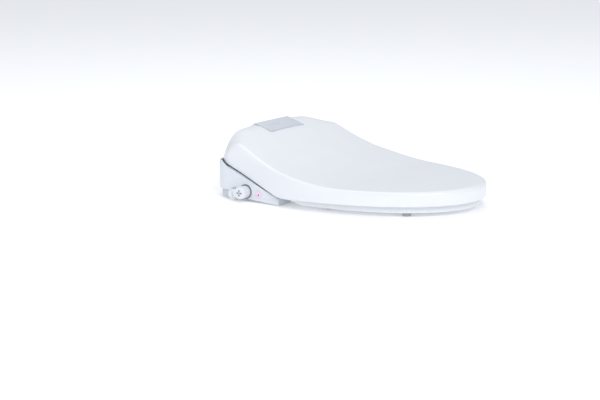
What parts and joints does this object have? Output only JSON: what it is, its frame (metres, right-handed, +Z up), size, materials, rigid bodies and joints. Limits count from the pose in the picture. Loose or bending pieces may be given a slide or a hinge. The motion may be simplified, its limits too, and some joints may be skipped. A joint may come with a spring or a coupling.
{
  "type": "electric bidet seat",
  "caption": "Electric bidet seat: sloping closed lid over a heated ring, hinged on a rear housing with side knob, wash button, water inlet, nozzle and slide-off bracket.",
  "frame": {"origin": "midway between the two bowl bolt axes, on the bowl's rim", "axes": "+Z up, -Y towards the front of the bowl, +Y towards the tank, -X the control side"},
  "size_m": [0.4126, 0.553, 0.1926],
  "materials": {
    "lid_white": "glossy, very fine satin",
    "seat_white": "glossy",
    "housing_white": "satin gloss",
    "panel_grey": "satin, cool grey",
    "pan_grey": "matte moulded",
    "control_white": "satin",
    "halo_pink": "satin",
    "button_pink": "satin",
    "lens_clear": "clear polished",
    "bracket_plastic": "matte",
    "rubber_grey": "matte",
    "seal_black": "matte",
    "steel": "brushed",
    "brass": "machined",
    "board_green": "solder mask",
    "component_black": "matte",
    "tank_white": "matte moulded",
    "valve_blue": "matte moulded",
    "hose_grey": "satin",
    "nozzle_white": "glossy",
    "gear_white": "matte acetal",
    "foil_silver": "foil",
    "damper_grey": "matte"
  },
  "bodies": {
    "mount": {"mounting_plate": "bracket_plastic", "plate_gasket": "rubber_grey", "bolt_adjusters": "bracket_plastic", "mounting_bolts": "steel"},
    "unit": {"base_pan": "pan_grey", "right_cover": "housing_white", "left_cover": "housing_white", "middle_cover": "housing_white", "housing_screws": "steel", "base_pads": "rubber_grey", "centre_panel": "panel_grey", "indicator_lens": "lens_clear", "receiver_board": "board_green", "side_leds": "lens_clear", "button_halo": "halo_pink", "button_switch": "component_black", "knob_bezel": "damper_grey", "knob_valve": "valve_blue", "filter_housing": "tank_white", "filter_plug": "control_white", "filter_screen": "steel", "filter_seal": "seal_black", "release_spring": "steel", "release_latch": "tank_white", "water_inlet": "brass", "solenoid_valve": "valve_blue", "water_pump": "component_black", "heater_tank": "tank_white", "supply_hose": "hose_grey", "nozzle_motor": "steel", "nozzle_guide": "tank_white", "nozzle_guard": "control_white", "blower_housing": "tank_white", "blower_motor": "steel", "dryer_duct": "tank_white", "dryer_heater": "foil_silver", "dryer_grille": "control_white", "control_board": "board_green", "board_components": "component_black", "cord_gland": "component_black", "lid_damper": "damper_grey", "seat_damper": "damper_grey"},
    "button": {"wash_button": "button_pink"},
    "knob": {"flow_knob": "control_white"},
    "release": {"release_button": "control_white"},
    "nozzle": {"nozzle_tube": "nozzle_white", "nozzle_cap": "nozzle_white", "nozzle_rack": "gear_white"},
    "pinion": {"drive_pinion": "gear_white"},
    "fan": {"blower_fan": "component_black"},
    "seat": {"seat_ring_top": "seat_white", "seat_ring_bottom": "seat_white", "heating_foil": "foil_silver", "seat_bumpers": "rubber_grey", "seat_hinge_shaft": "steel"},
    "lid": {"lid_shell": "lid_white", "lid_bumpers": "rubber_grey", "lid_hinge_shaft": "steel"}
  },
  "joints": [
    {"name": "unit_slide", "type": "slide", "parent": "mount", "child": "unit", "axis": [0, -1, 0], "range_m": [0, 0.07]},
    {"name": "seat_hinge", "type": "hinge", "parent": "unit", "child": "seat", "pos_m": [0, 0.038, 0.112], "axis": [-1, 0, 0], "range_deg": [0, 100]},
    {"name": "lid_hinge", "type": "hinge", "parent": "seat", "child": "lid", "pos_m": [0, 0.038, 0.112], "axis": [1, 0, 0], "range_deg": [-103, 0]},
    {"name": "wash_button_press", "type": "slide", "parent": "unit", "child": "button", "axis": [1, 0, 0], "range_m": [0, 0.0015], "stiffness_N_per_m": 600, "springref_m": -0.001},
    {"name": "release_button_press", "type": "slide", "parent": "unit", "child": "release", "axis": [-1, 0, 0], "range_m": [0, 0.003], "stiffness_N_per_m": 600, "springref_m": -0.001},
    {"name": "knob_turn", "type": "hinge", "parent": "unit", "child": "knob", "pos_m": [-0.19, -0.021, 0.021], "axis": [1, 0, 0], "range_deg": [-135, 135]},
    {"name": "nozzle_slide", "type": "slide", "parent": "unit", "child": "nozzle", "axis": [0, -0.866, -0.5], "range_m": [0, 0.09]},
    {"name": "pinion_spin", "type": "hinge", "parent": "unit", "child": "pinion", "pos_m": [0.0085, -0.04106, 0.04729], "axis": [1, 0, 0], "range_deg": [-740, 0]},
    {"name": "fan_spin", "type": "hinge", "parent": "unit", "child": "fan", "pos_m": [-0.04, 0.016, 0.05], "axis": [1, 0, 0], "continuous": true}
  ],
  "couplings": [
    {"joint": "pinion_spin", "follows": "nozzle_slide", "rad_per_m": -142.86}
  ]
}
